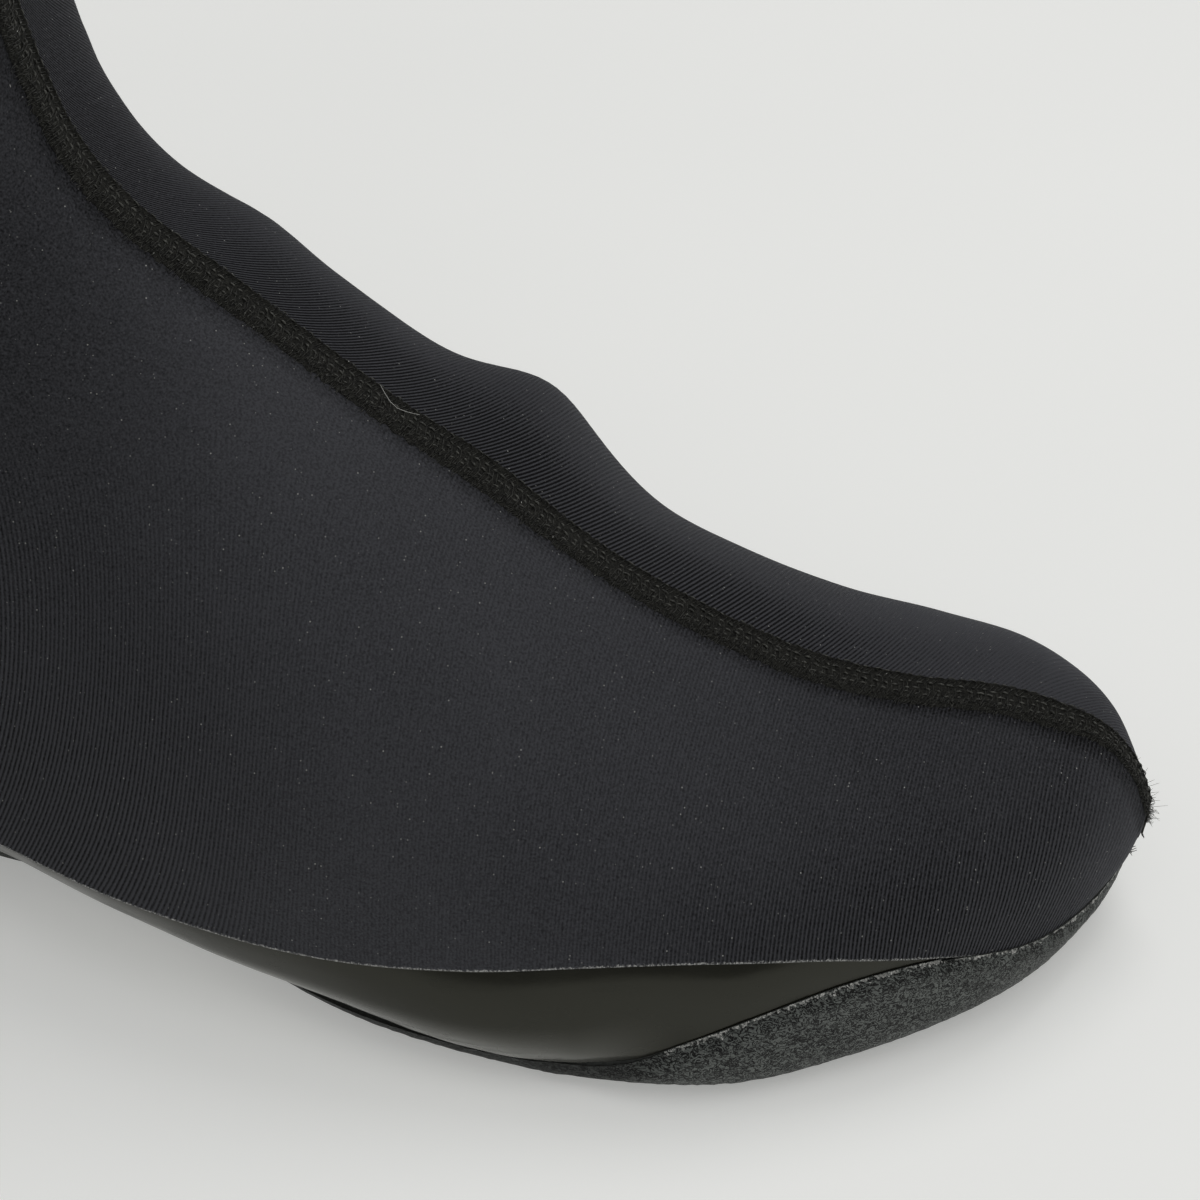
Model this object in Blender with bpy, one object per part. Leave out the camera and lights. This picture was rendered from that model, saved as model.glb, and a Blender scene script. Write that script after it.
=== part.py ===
"""Neoprene overshoe for a right foot, standing on its sole.

The shoe is one lofted form, cut into the pieces a maker joins: a jersey-faced upper, a smooth rubber
lower panel that closes it underneath, a pebbled outsole with a toe bumper, and a raised front seam.
Sizes are in millimetres. "back" is the distance behind the toe tip, the outer side of the foot is -Y,
and the toe points along +X. Meshes are made in metres.
"""

import math

import bpy
import numpy as np
from mathutils import Vector

MM = 0.001

# Driving dimensions
WALL = 3.0            # neoprene with its jersey face
PANEL_STEP = 0.7      # how far the smooth panel lies below the jersey at the jersey's edge
PANEL_RISE = 9.0      # height over which the panel sinks to that step
JOINT_GAP = 0.3       # clearance where two curved pieces meet
SOLE_THICKNESS = 2.4  # pebbled rubber underfoot
BUMPER_EDGE = 1.3     # pebbled rubber at the bumper's top edge
BUMPER_RISE = 14.0    # height over which the sole thins to the bumper's edge
SEAM_WIDTH = 6.4      # flat-lock seam
SEAM_HEIGHT = 0.6     # how far the seam stands proud
SEAM_END = 0.35       # where the seam stops on the toe's nose, as a share of the nose's height
SEAM_END_WIDTH = 0.6  # width left at that end, as a share of the seam's width
SEAM_GIRTH = 0.12     # share of the half girth within which the seam lies

# Mesh density
STATIONS = 39         # sections along the shoe
SEAM_STATIONS = 40
CURVE_STEPS = 60      # points along a cut line
TOP_COLUMNS = 7       # points on each side over the top of the foot
SIDE_COLUMNS = 13     # points down each side and round the sole's turn
TREAD_COLUMNS = 2     # points on each side underneath
TOP_GIRTH = 0.45      # share of the half girth at which the side starts
TREAD_GIRTH = 0.90    # share of the half girth at which the tread starts
ARC_STEPS = 241       # points used to measure along half a section
CUTTER_REACH = 90.0   # how far the cutters run past the middle of the shoe

# Sections from the toe tip to the collar. Each lies in the plane through its top point, on the front
# seam, and its bottom point, on the sole or the back of the heel. outer and inner are the half widths
# from the shoe's axis and level is the share of the height at which the section is widest. The three
# powers say how full the curve is: above that level on each side, and below it.
SECTION_COLUMNS = (
    "top_back", "top_z", "bottom_back", "bottom_z", "seam_y", "outer", "inner",
    "level", "outer_power", "inner_power", "bottom_power",
)
SECTIONS = (
    (0.0, 24.6, 1.4, 17.6, 11.0, -7.5, 14.5, 0.50, 2.0, 2.0, 2.0),
    (2.8, 31.6, 4.4, 13.2, 11.0, 0.0, 20.0, 0.45, 2.1, 2.2, 2.2),
    (8.2, 38.0, 8.8, 8.6, 10.5, 10.2, 29.0, 0.42, 2.2, 2.4, 2.8),
    (16.0, 42.0, 16.3, 5.7, 9.0, 21.6, 37.0, 0.40, 2.2, 2.5, 4.0),
    (27.0, 45.2, 27.2, 3.8, 7.0, 32.5, 43.0, 0.40, 2.2, 2.5, 4.9),
    (42.0, 46.5, 42.0, 2.6, 4.5, 43.5, 47.5, 0.40, 2.2, 2.4, 6.0),
    (60.0, 51.0, 60.0, 2.3, 1.5, 53.5, 50.0, 0.38, 2.1, 2.1, 8.0),
    (82.0, 61.5, 82.0, 2.3, -1.0, 58.0, 50.5, 0.33, 2.0, 2.1, 8.0),
    (105.0, 76.5, 106.0, 2.6, -2.5, 59.5, 49.8, 0.28, 2.0, 2.65, 7.2),
    (128.0, 93.0, 134.0, 4.7, -3.5, 58.0, 45.2, 0.25, 2.0, 2.9, 6.2),
    (147.0, 107.0, 168.0, 5.4, -4.0, 51.6, 42.6, 0.25, 2.0, 3.25, 4.4),
    (163.0, 118.5, 206.0, 3.4, -4.5, 40.8, 41.5, 0.27, 2.0, 3.35, 2.7),
    (174.0, 128.0, 246.0, 2.3, -5.0, 38.0, 41.3, 0.30, 2.1, 3.4, 2.5),
    (181.5, 138.5, 274.0, 4.6, -5.5, 38.0, 41.3, 0.36, 2.2, 3.5, 3.0),
    (185.5, 148.0, 287.0, 18.0, -5.5, 37.5, 41.5, 0.42, 2.2, 3.5, 2.4),
    (188.5, 158.0, 290.0, 44.0, -6.0, 37.5, 41.5, 0.46, 2.2, 3.5, 2.2),
    (191.0, 170.0, 286.0, 88.0, -6.0, 37.5, 41.5, 0.50, 2.2, 3.3, 2.2),
    (193.0, 183.0, 282.0, 136.0, -6.0, 38.0, 41.5, 0.50, 2.2, 3.0, 2.1),
    (194.5, 194.0, 282.0, 174.0, -6.0, 38.5, 41.5, 0.50, 2.2, 2.8, 2.1),
    (195.5, 202.0, 283.0, 200.0, -6.0, 39.0, 41.5, 0.50, 2.2, 2.7, 2.1),
)

# Soft folds where the neoprene bridges the closure below it. girth is the place round the section:
# 0 is the front seam, 1 the sole, negative on the outer side and positive on the inner side.
FOLD_COLUMNS = ("back", "girth", "height", "length", "girth_reach")
FOLDS = (
    (114.0, 0.20, 5.2, 10.0, 0.16),
    (92.0, 0.22, -1.6, 9.0, 0.16),
    (160.0, 0.20, 1.6, 8.0, 0.16),
)

# Side-view height of the jersey's lower edge and of the outsole's upper edge, and the outsole's plan.
EDGE_COLUMNS = ("back", "z")
JERSEY_EDGE = (
    (-12.0, 4.0), (6.0, 7.0), (15.0, 12.6), (24.0, 18.8), (38.0, 24.0), (52.0, 27.4), (66.0, 28.6),
    (84.0, 27.2), (102.0, 24.2), (120.0, 21.6), (140.0, 20.1), (165.0, 19.6), (195.0, 19.5),
    (240.0, 20.0), (310.0, 20.0),
)
SOLE_EDGE = (
    (-12.0, 13.6), (2.0, 13.6), (6.0, 13.7), (11.0, 14.8), (16.0, 16.3), (21.0, 18.2), (27.0, 19.9),
    (36.0, 20.6), (46.0, 19.2), (56.0, 16.4), (66.0, 12.2), (76.0, 7.8), (90.0, 6.4), (134.0, 9.0),
    (310.0, 9.0),
)
OUTLINE_COLUMNS = ("back", "outer", "inner")
SOLE_OUTLINE = (
    (-12.0, 66.0, 66.0), (66.0, 63.0, 60.0), (80.0, 60.0, 54.0), (94.0, 57.5, 49.0), (108.0, 56.0, 44.0),
    (122.0, 54.0, 39.5), (138.0, 49.0, 35.5), (160.0, 40.0, 31.5), (190.0, 32.0, 30.0),
    (220.0, 30.5, 31.0), (246.0, 29.0, 29.5), (262.0, 25.0, 25.5), (271.0, 19.0, 19.5),
    (276.0, 10.0, 10.5), (277.5, 3.0, 3.0),
)

FINISH_COLUMNS = ("red", "green", "blue", "roughness")
FINISHES = {
    "upper": (0.024, 0.025, 0.029, 0.85),
    "lower_panel": (0.020, 0.020, 0.018, 0.35),
    "outsole": (0.030, 0.033, 0.031, 0.80),
    "front_seam": (0.014, 0.014, 0.012, 0.90),
}


def smooth_table(rows, places):
    """Rows of a table read at fractional row numbers, on one smooth curve through all of them."""
    rows = np.array(rows, float)
    slopes = np.gradient(rows, axis=0)
    first = np.clip(np.floor(places).astype(int), 0, len(rows) - 2)
    t = (np.asarray(places) - first)[:, None]
    a, b = rows[first], rows[first + 1]
    da, db = slopes[first], slopes[first + 1]
    return (
        (2 * t**3 - 3 * t**2 + 1) * a
        + (t**3 - 2 * t**2 + t) * da
        + (3 * t**2 - 2 * t**3) * b
        + (t**3 - t**2) * db
    )


def section_rows(count):
    """The sections as named columns, closer together round the toe than along the shaft."""
    places = np.linspace(0, len(SECTIONS) - 1, count)
    values = smooth_table(SECTIONS, places)
    return dict(zip(SECTION_COLUMNS, values.T))


def section_sides(row, sides, heights_up):
    """Points of one section from the powers of its upper and lower curves.

    sides is -1 on the outer side and +1 on the inner side; heights_up runs from 1 at the seam, through
    0 at the widest level, to -1 at the bottom."""
    upper = heights_up >= 0
    above = np.where(sides < 0, row["outer_power"], row["inner_power"])
    power = np.where(upper, above, row["bottom_power"])
    across = (1 - np.abs(heights_up) ** power) ** (1 / power)
    reach = np.where(upper, 1 - row["level"], row["level"])
    share = row["level"] + heights_up * reach
    half = np.where(sides < 0, -row["outer"], row["inner"])
    middle = row["seam_y"]
    y = middle + (half - middle) * across
    back = row["bottom_back"] + (row["top_back"] - row["bottom_back"]) * share
    z = row["bottom_z"] + (row["top_z"] - row["bottom_z"]) * share
    return np.stack([-back, y, z], axis=-1)


def section_loop(row, girths):
    """Section points at shares of the girth: -1 to 0 up the outer side, 0 to 1 down the inner side."""
    fine = np.cos(np.linspace(0, math.pi, ARC_STEPS))
    loop = np.empty((len(girths), 3))
    for side in (-1, 1):
        points = section_sides(row, np.full(fine.shape, side), fine)
        steps = np.linalg.norm(np.diff(points, axis=0), axis=1)
        along = np.concatenate([[0], np.cumsum(steps)])
        wanted = np.abs(girths) * along[-1]
        mine = girths < 0 if side < 0 else girths >= 0
        for axis in range(3):
            loop[mine, axis] = np.interp(wanted[mine], along, points[:, axis])
    return loop


def girth_columns():
    """Girth shares of the columns, closest together round the turn from the side to the sole."""
    side = np.concatenate([
        np.linspace(0, TOP_GIRTH, TOP_COLUMNS, endpoint=False),
        np.linspace(TOP_GIRTH, TREAD_GIRTH, SIDE_COLUMNS, endpoint=False),
        np.linspace(TREAD_GIRTH, 1, TREAD_COLUMNS, endpoint=False),
    ])
    return np.concatenate([[-1.0], -side[:0:-1], side])


def fold_height(backs, girths):
    """How far the soft folds lift the surface."""
    lift = np.zeros_like(backs)
    for values in FOLDS:
        fold = dict(zip(FOLD_COLUMNS, values))
        along = (backs - fold["back"]) / fold["length"]
        round_it = (girths - fold["girth"]) / fold["girth_reach"]
        lift += fold["height"] * np.exp(-(along**2) - round_it**2)
    return lift


def surface_normals(points, closed):
    """Outward unit normals of a grid of points: rows run from toe to collar, columns round the girth."""
    along = np.gradient(points, axis=0)
    if closed:
        round_it = np.roll(points, -1, axis=1) - np.roll(points, 1, axis=1)
    else:
        round_it = np.gradient(points, axis=1)
    normals = np.cross(round_it, along)
    return normals / np.linalg.norm(normals, axis=-1, keepdims=True)


def last_grid(count, girths, closed):
    """The shoe's outer form as a grid of points, with its normals."""
    rows = section_rows(count)
    points = np.array([
        section_loop({name: column[i] for name, column in rows.items()}, girths) for i in range(count)
    ])
    normals = surface_normals(points, closed)
    lift = fold_height(-points[..., 0], np.broadcast_to(girths, points.shape[:2]))
    points = points + normals * lift[..., None]
    return points, surface_normals(points, closed)


def cut_line(columns, rows):
    """A smooth line through a table of places, as named columns."""
    values = smooth_table(rows, np.linspace(0, len(rows) - 1, CURVE_STEPS))
    return dict(zip(columns, values.T))


def height_share(z, low, rise):
    """0 at the height low, growing to 1 over the height rise."""
    share = np.clip((z - low) / rise, 0, 1)
    return share * share * (3 - 2 * share)


def mesh_object(name, points, faces, parent):
    """A mesh object made from millimetre points, under the shoe's empty."""
    mesh = bpy.data.meshes.new(name)
    mesh.from_pydata([tuple(p * MM) for p in points], [], faces)
    mesh.validate()
    mesh.shade_smooth()
    mesh.set_sharp_from_angle(angle=math.radians(40))
    made = bpy.data.objects.new(name, mesh)
    made.parent = parent
    bpy.context.scene.collection.objects.link(made)
    return made


def shell(name, grid, outer_lift, inner_lift, parent):
    """A cup between two forms parallel to the last, closed at the toe and open at the collar."""
    points, normals = grid
    stations, columns = points.shape[:2]
    skins = [points + normals * lift[..., None] for lift in (outer_lift, inner_lift)]
    noses = [skin[0].mean(axis=0) for skin in skins]
    count = stations * columns
    vertices = np.concatenate([skins[0].reshape(-1, 3), skins[1].reshape(-1, 3), noses])

    def at(skin, station, column):
        return skin * count + station * columns + column % columns

    faces = []
    for column in range(columns):
        ahead = column + 1
        for station in range(stations - 1):
            corners = ((station, column), (station, ahead), (station + 1, ahead), (station + 1, column))
            for half in ((0, 1, 2), (0, 2, 3)):
                triangle = [corners[i] for i in half]
                faces.append([at(0, s, c) for s, c in triangle])
                faces.append([at(1, s, c) for s, c in reversed(triangle)])
        faces.append([2 * count, at(0, 0, ahead), at(0, 0, column)])
        faces.append([2 * count + 1, at(1, 0, column), at(1, 0, ahead)])
        last = stations - 1
        faces.append([at(0, last, column), at(0, last, ahead), at(1, last, ahead), at(1, last, column)])
    return mesh_object(name, vertices, faces, parent)


def cutter(name, near_loop, far_loop, parent):
    """A closed block between two equal loops of points, left out of the finished shoe."""
    count = len(near_loop)
    faces = [list(range(count)), list(range(2 * count - 1, count - 1, -1))]
    for i in range(count):
        j = (i + 1) % count
        faces.append([j, i, count + i, count + j])
    block = mesh_object(name, np.concatenate([near_loop, far_loop]), faces, parent)
    block.hide_render = True
    block.display_type = "WIRE"
    return block


def side_cutter(name, edge, floor_z, parent):
    """A cutter wider than the shoe that fills the side view from floor_z up to an edge."""
    backs = np.concatenate([edge["back"], edge["back"][[-1, 0]]])
    heights = np.concatenate([edge["z"], [floor_z, floor_z]])
    loops = [
        np.stack([-backs, np.full(backs.shape, y), heights], axis=1) for y in (-CUTTER_REACH, CUTTER_REACH)
    ]
    return cutter(name, *loops, parent)


def plan_cutter(name, outline, parent):
    """A cutter taller than the sole that fills the plan between its outer and inner outlines."""
    backs = np.concatenate([outline["back"], outline["back"][::-1]])
    sides = np.concatenate([-outline["outer"], outline["inner"][::-1]])
    loops = [
        np.stack([-backs, sides, np.full(backs.shape, z)], axis=1) for z in (-CUTTER_REACH, CUTTER_REACH)
    ]
    return cutter(name, *loops, parent)


def trim(piece, block, operation):
    """Keeps (INTERSECT) or removes (DIFFERENCE) what lies inside a cutter."""
    cut = piece.modifiers.new(block.name, "BOOLEAN")
    cut.operation = operation
    cut.object = block
    cut.solver = "EXACT"


def finish(piece):
    """A plain coloured material of the piece's own."""
    values = dict(zip(FINISH_COLUMNS, FINISHES[piece.name]))
    material = bpy.data.materials.new(piece.name)
    material.use_nodes = True
    surface = material.node_tree.nodes["Principled BSDF"]
    surface.inputs["Base Color"].default_value = (values["red"], values["green"], values["blue"], 1.0)
    surface.inputs["Roughness"].default_value = values["roughness"]
    surface.inputs["Metallic"].default_value = 0.0
    piece.data.materials.append(material)


def make_upper(grid, parent):
    """Jersey-faced neoprene: the whole form above the jersey's lower edge."""
    flush = np.zeros(grid[0].shape[:2])
    upper = shell("upper", grid, flush, flush - WALL, parent)
    edge = cut_line(EDGE_COLUMNS, JERSEY_EDGE)
    trim(upper, side_cutter("jersey_edge_cutter", edge, -CUTTER_REACH, parent), "DIFFERENCE")
    finish(upper)
    return upper


def make_lower_panel(grid, parent):
    """Smooth rubber tray under the upper, flush with its inside and stepped down at the jersey's edge."""
    heights = grid[0][..., 2]
    bottoms = heights.min(axis=1, keepdims=True)
    sink = PANEL_STEP * height_share(heights, bottoms + SOLE_THICKNESS, PANEL_RISE)
    panel = shell("lower_panel", grid, -sink, np.full(sink.shape, -WALL), parent)
    edge = cut_line(EDGE_COLUMNS, JERSEY_EDGE)
    edge["z"] = edge["z"] - JOINT_GAP
    trim(panel, side_cutter("panel_edge_cutter", edge, -CUTTER_REACH, parent), "INTERSECT")
    finish(panel)
    return panel


def make_outsole(grid, parent):
    """Pebbled rubber bonded underneath, turned up round the toe and trimmed flat where it stands."""
    heights = grid[0][..., 2]
    thinning = height_share(heights, SOLE_THICKNESS, BUMPER_RISE)
    thickness = SOLE_THICKNESS + (BUMPER_EDGE - SOLE_THICKNESS) * thinning
    inside = np.full(thickness.shape, JOINT_GAP)
    outsole = shell("outsole", grid, inside + thickness, inside, parent)
    floor_z = 0.0
    edge = cut_line(EDGE_COLUMNS, SOLE_EDGE)
    outline = cut_line(OUTLINE_COLUMNS, SOLE_OUTLINE)
    trim(outsole, side_cutter("outsole_edge_cutter", edge, floor_z, parent), "INTERSECT")
    trim(outsole, plan_cutter("outsole_plan_cutter", outline, parent), "INTERSECT")
    finish(outsole)
    return outsole


def make_front_seam(parent):
    """A low raised strip along the top of every section, ending on the toe's nose."""
    half = SEAM_WIDTH / 2
    offsets = np.array([-half, -half / 2, 0.0, half / 2, half])
    girths = np.linspace(-SEAM_GIRTH, SEAM_GIRTH, 25)
    points, normals = last_grid(SEAM_STATIONS, girths, False)
    strips = []
    for row, normal in zip(points, normals):
        steps = np.linalg.norm(np.diff(row, axis=0), axis=1)
        along = np.concatenate([[0], np.cumsum(steps)])
        along = along - along[len(along) // 2]
        place = [np.interp(offsets, along, row[:, axis]) for axis in range(3)]
        facing = [np.interp(offsets, along, normal[:, axis]) for axis in range(3)]
        strips.append((np.stack(place, axis=-1), np.stack(facing, axis=-1)))
    tip = dict(zip(SECTION_COLUMNS, SECTIONS[0]))
    nose = np.empty_like(strips[0][0])
    nose[:, 0] = -(tip["bottom_back"] + (tip["top_back"] - tip["bottom_back"]) * SEAM_END)
    nose[:, 1] = tip["seam_y"] + offsets * SEAM_END_WIDTH
    nose[:, 2] = tip["bottom_z"] + (tip["top_z"] - tip["bottom_z"]) * SEAM_END
    strips.insert(0, (nose, np.tile([1.0, 0.0, 0.0], (len(offsets), 1))))
    places = np.array([s[0] for s in strips])
    facings = np.array([s[1] for s in strips])
    facings /= np.linalg.norm(facings, axis=-1, keepdims=True)
    layers = [places + facings * (JOINT_GAP + lift) for lift in (SEAM_HEIGHT, 0.0)]
    stations, columns = places.shape[:2]
    count = stations * columns
    vertices = np.concatenate([layer.reshape(-1, 3) for layer in layers])

    def at(layer, station, column):
        return layer * count + station * columns + column

    faces = []
    for station in range(stations - 1):
        for column in range(columns - 1):
            corners = (
                (station, column), (station, column + 1), (station + 1, column + 1), (station + 1, column),
            )
            faces.append([at(0, s, c) for s, c in corners])
            faces.append([at(1, s, c) for s, c in reversed(corners)])
        for column, turn in ((0, 1), (columns - 1, -1)):
            side = [at(0, station, column), at(0, station + 1, column),
                    at(1, station + 1, column), at(1, station, column)]
            faces.append(side[::turn])
    for station, turn in ((0, -1), (stations - 1, 1)):
        for column in range(columns - 1):
            end = [at(0, station, column), at(0, station, column + 1),
                   at(1, station, column + 1), at(1, station, column)]
            faces.append(end[::turn])
    seam = mesh_object("front_seam", vertices, faces, parent)
    finish(seam)
    return seam


def stand_on_origin(shoe, pieces):
    """Moves the shoe so that the middle of its box stands over the origin, on the floor."""
    bpy.context.view_layer.update()
    graph = bpy.context.evaluated_depsgraph_get()
    corners = np.array([
        piece.evaluated_get(graph).matrix_world @ Vector(corner)
        for piece in pieces
        for corner in piece.evaluated_get(graph).bound_box
    ])
    middle = (corners.min(axis=0) + corners.max(axis=0)) / 2
    shoe.location = (-middle[0], -middle[1], 0.0)


def main():
    for old in list(bpy.data.objects):
        bpy.data.objects.remove(old)
    shoe = bpy.data.objects.new("overshoe", None)
    bpy.context.scene.collection.objects.link(shoe)
    grid = last_grid(STATIONS, girth_columns(), True)
    pieces = [
        make_upper(grid, shoe),
        make_lower_panel(grid, shoe),
        make_outsole(grid, shoe),
        make_front_seam(shoe),
    ]
    stand_on_origin(shoe, pieces)


main()
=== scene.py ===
import math
from types import SimpleNamespace

import bmesh
import bpy
import numpy as np
from mathutils import Matrix, Vector, noise


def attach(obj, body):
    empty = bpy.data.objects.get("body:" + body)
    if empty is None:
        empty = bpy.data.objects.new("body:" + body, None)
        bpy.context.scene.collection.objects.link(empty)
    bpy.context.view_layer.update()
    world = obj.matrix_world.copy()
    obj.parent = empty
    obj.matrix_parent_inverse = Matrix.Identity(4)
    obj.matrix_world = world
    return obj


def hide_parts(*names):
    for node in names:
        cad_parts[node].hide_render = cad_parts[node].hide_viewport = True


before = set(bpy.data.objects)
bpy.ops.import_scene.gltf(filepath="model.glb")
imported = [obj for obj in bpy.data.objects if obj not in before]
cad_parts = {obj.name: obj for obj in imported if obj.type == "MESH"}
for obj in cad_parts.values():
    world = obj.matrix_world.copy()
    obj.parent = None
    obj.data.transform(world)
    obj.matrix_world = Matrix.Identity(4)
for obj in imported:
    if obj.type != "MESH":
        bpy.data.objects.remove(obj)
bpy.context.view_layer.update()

# The upper. Two side panels of neoprene, a foam rubber sheet with a fine ribbed jersey bonded to its
# face, sewn together along the front and pulled to the shape of the shoe inside. The jersey is cut raw
# along its lower edge, and the collar is turned over in a plain round rim.
MM = 0.001
TOE_TIP = np.array([144.575, 3.531, 0.0])  # row place, in mm, of the point that "back" is measured from
WALL = 3.0
SECTION_COLUMNS = (
    "top_back", "top_z", "bottom_back", "bottom_z", "seam_y", "outer", "inner",
    "level", "outer_power", "inner_power", "bottom_power",
)
SECTIONS = (
    (0.0, 24.6, 1.4, 17.6, 11.0, -7.5, 14.5, 0.50, 2.0, 2.0, 2.0),
    (2.8, 31.6, 4.4, 13.2, 11.0, 0.0, 20.0, 0.45, 2.1, 2.2, 2.2),
    (8.2, 38.0, 8.8, 8.6, 10.5, 10.2, 29.0, 0.42, 2.2, 2.4, 2.8),
    (16.0, 42.0, 16.3, 5.7, 9.0, 21.6, 37.0, 0.40, 2.2, 2.5, 4.0),
    (27.0, 45.2, 27.2, 3.8, 7.0, 32.5, 43.0, 0.40, 2.2, 2.5, 4.9),
    (42.0, 46.5, 42.0, 2.6, 4.5, 43.5, 47.5, 0.40, 2.2, 2.4, 6.0),
    (60.0, 51.0, 60.0, 2.3, 1.5, 53.5, 50.0, 0.38, 2.1, 2.1, 8.0),
    (82.0, 61.5, 82.0, 2.3, -1.0, 58.0, 50.5, 0.33, 2.0, 2.1, 8.0),
    (105.0, 76.5, 106.0, 2.6, -2.5, 59.5, 49.8, 0.28, 2.0, 2.65, 7.2),
    (128.0, 93.0, 134.0, 4.7, -3.5, 58.0, 45.2, 0.25, 2.0, 2.9, 6.2),
    (147.0, 107.0, 168.0, 5.4, -4.0, 51.6, 42.6, 0.25, 2.0, 3.25, 4.4),
    (163.0, 118.5, 206.0, 3.4, -4.5, 40.8, 41.5, 0.27, 2.0, 3.35, 2.7),
    (174.0, 128.0, 246.0, 2.3, -5.0, 38.0, 41.3, 0.30, 2.1, 3.4, 2.5),
    (181.5, 138.5, 274.0, 4.6, -5.5, 38.0, 41.3, 0.36, 2.2, 3.5, 3.0),
    (185.5, 148.0, 287.0, 18.0, -5.5, 37.5, 41.5, 0.42, 2.2, 3.5, 2.4),
    (188.5, 158.0, 290.0, 44.0, -6.0, 37.5, 41.5, 0.46, 2.2, 3.5, 2.2),
    (191.0, 170.0, 286.0, 88.0, -6.0, 37.5, 41.5, 0.50, 2.2, 3.3, 2.2),
    (193.0, 183.0, 282.0, 136.0, -6.0, 38.0, 41.5, 0.50, 2.2, 3.0, 2.1),
    (194.5, 194.0, 282.0, 174.0, -6.0, 38.5, 41.5, 0.50, 2.2, 2.8, 2.1),
    (195.5, 202.0, 283.0, 200.0, -6.0, 39.0, 41.5, 0.50, 2.2, 2.7, 2.1),
)
# Soft folds: place behind the toe, place round the section (0 seam, 1 sole, minus on the outer side),
# height, length along the shoe and reach round it.
FOLDS = (
    (114.0, 0.20, 5.2, 10.0, 0.16),
    (92.0, 0.22, -1.6, 9.0, 0.16),
    (160.0, 0.20, 1.6, 8.0, 0.16),
)
# The cloth stands out a little above the bumper's end: place behind the toe, height, reach along, reach up.
TOE_PAD, PAD_LIFT = (3.0, 15.0, 3.5, 4.0), 1.0
JERSEY_EDGE = (
    (-12.0, 4.0), (6.0, 7.0), (15.0, 12.6), (24.0, 18.8), (38.0, 24.0), (52.0, 27.4), (66.0, 28.6),
    (84.0, 27.2), (102.0, 24.2), (120.0, 21.6), (140.0, 20.1), (165.0, 19.6), (195.0, 19.5),
    (240.0, 20.0), (310.0, 20.0),
)
GIRTHS = np.linspace(-1, 1, 401)  # round a section: -1 sole, up the outer side to 0 at the seam, 1 sole
UPPER_ROWS = 300
UPPER_SIDE_COLUMNS = 52
EDGE_STEPS = np.array([4.0, 2.6, 1.6, 1.0, 0.6, 0.3, 0.0])  # mm from the raw edge
UNDER_STEPS = np.linspace(0, 1, 10)[1:]  # shares from the raw edge to the sole, at the closed toe and heel
NOSE_DOME = 0.5
COLLAR_BEAD = 0.9
LINING_START = 1.6  # section at which the lining's toe is closed
FAR_FROM_EDGE = 99.0
NEAR_RIB_TOE, NEAR_RIB_ANKLE = 0.63, 0.90  # mm between ribs of the outer panel
RIB_CURL, RIB_CURL_Z = 0.0060, 65.0        # its ribs bow at the ankle, about this height
TOE_SWEEP, TOE_SWEEP_Z = 0.013, 36.0       # and sweep forward low at the toe
FAR_RIB, FAR_RIB_REACH = 0.82, 32.0        # mm between ribs of the inner panel, and their reach
FAR_LEAN = (
    (0.0, -1.0), (20.0, -0.9), (30.0, -0.6), (45.0, -0.52), (94.0, -0.47), (116.0, -0.6), (139.0, -0.9),
    (159.0, -1.05), (175.0, -1.3), (200.0, -1.8), (290.0, -2.2),
)
# Soft steps, from and to, that bound the jersey's zones in mm: behind the toe, up, or round from the seam.
RIBS_BEGIN, PLAIN_HEEL, RIBS_WIDEN = (2, 14), (262, 222), (90, 220)
TOE_RIBS, TOE_RIBS_UP, TOE_SWEPT = (86, 32), (48, 22), (48, 6)
HEEL_RIBS, HEEL_RIBS_UP, ANKLE_CURLED = (122, 168), (100, 40), (112, 180)
FOREFOOT, LOW_SIDE_UP, SEAM_SIDE_ROUND = (110, 60), (112, 78), (8.5, 4.0)
ANKLE, ANKLE_UP, TOE_TOP, TOE_TOP_UP = (140, 200), (40, 110), (75, 35), (22, 36)
FAR_TOE, FAR_ANKLE, FAR_BEND, FAR_BEND_ROUND = (75, 25), (158, 188), (190, 145), (24, 9)
# Rib depth sets the bump and also how dark the grooves are painted, a painted shade in them.
RIB_DEPTH = {"near": 0.04, "low side": 0.13, "forefoot": 0.16, "ribbed": 0.95, "far": 0.75, "far bend": 0.85}
FAR_TOE_SOFTER = 0.45  # share of the ribs' depth that is lost there
# Painted shade on the jersey by zone, plus towards the groove colour. Minus is painted light, towards the
# ridge colour.
PAINTED_LIGHT_AND_SHADE = {
    "near": 0.10, "ribbed": -0.30, "seam side": 0.36, "ankle": 0.40, "toe top": 0.12,
    "far": -0.27, "far ankle": 0.42, "far toe": -0.30,
}
# The ridge colour is the cloth's own. The groove colour is a painted shade, which the grooves and the painted
# shade by zone go towards.
JERSEY_RIDGE = (0.0570, 0.0580, 0.0650)
JERSEY_GROOVE_SHADE = (0.0015, 0.0015, 0.0018)
LINT = (0.42, 0.42, 0.40)
RAW_EDGE = (0.46, 0.46, 0.45)
RAW_EDGE_DARK = (0.06, 0.06, 0.06)
LINING, LINING_DARK = (0.020, 0.020, 0.022), (0.012, 0.012, 0.013)
CUT_FOAM, CUT_FOAM_DARK = (0.030, 0.030, 0.029), (0.010, 0.010, 0.010)


def smooth_table(rows, places):
    """Rows of a table read at fractional row numbers, on one smooth curve through all of them."""
    rows = np.array(rows, float)
    slopes = np.gradient(rows, axis=0)
    first = np.clip(np.floor(places).astype(int), 0, len(rows) - 2)
    t = (np.asarray(places) - first)[:, None]
    return (
        (2 * t**3 - 3 * t**2 + 1) * rows[first]
        + (t**3 - 2 * t**2 + t) * slopes[first]
        + (3 * t**2 - 2 * t**3) * rows[first + 1]
        + (t**3 - t**2) * slopes[first + 1]
    )


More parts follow.
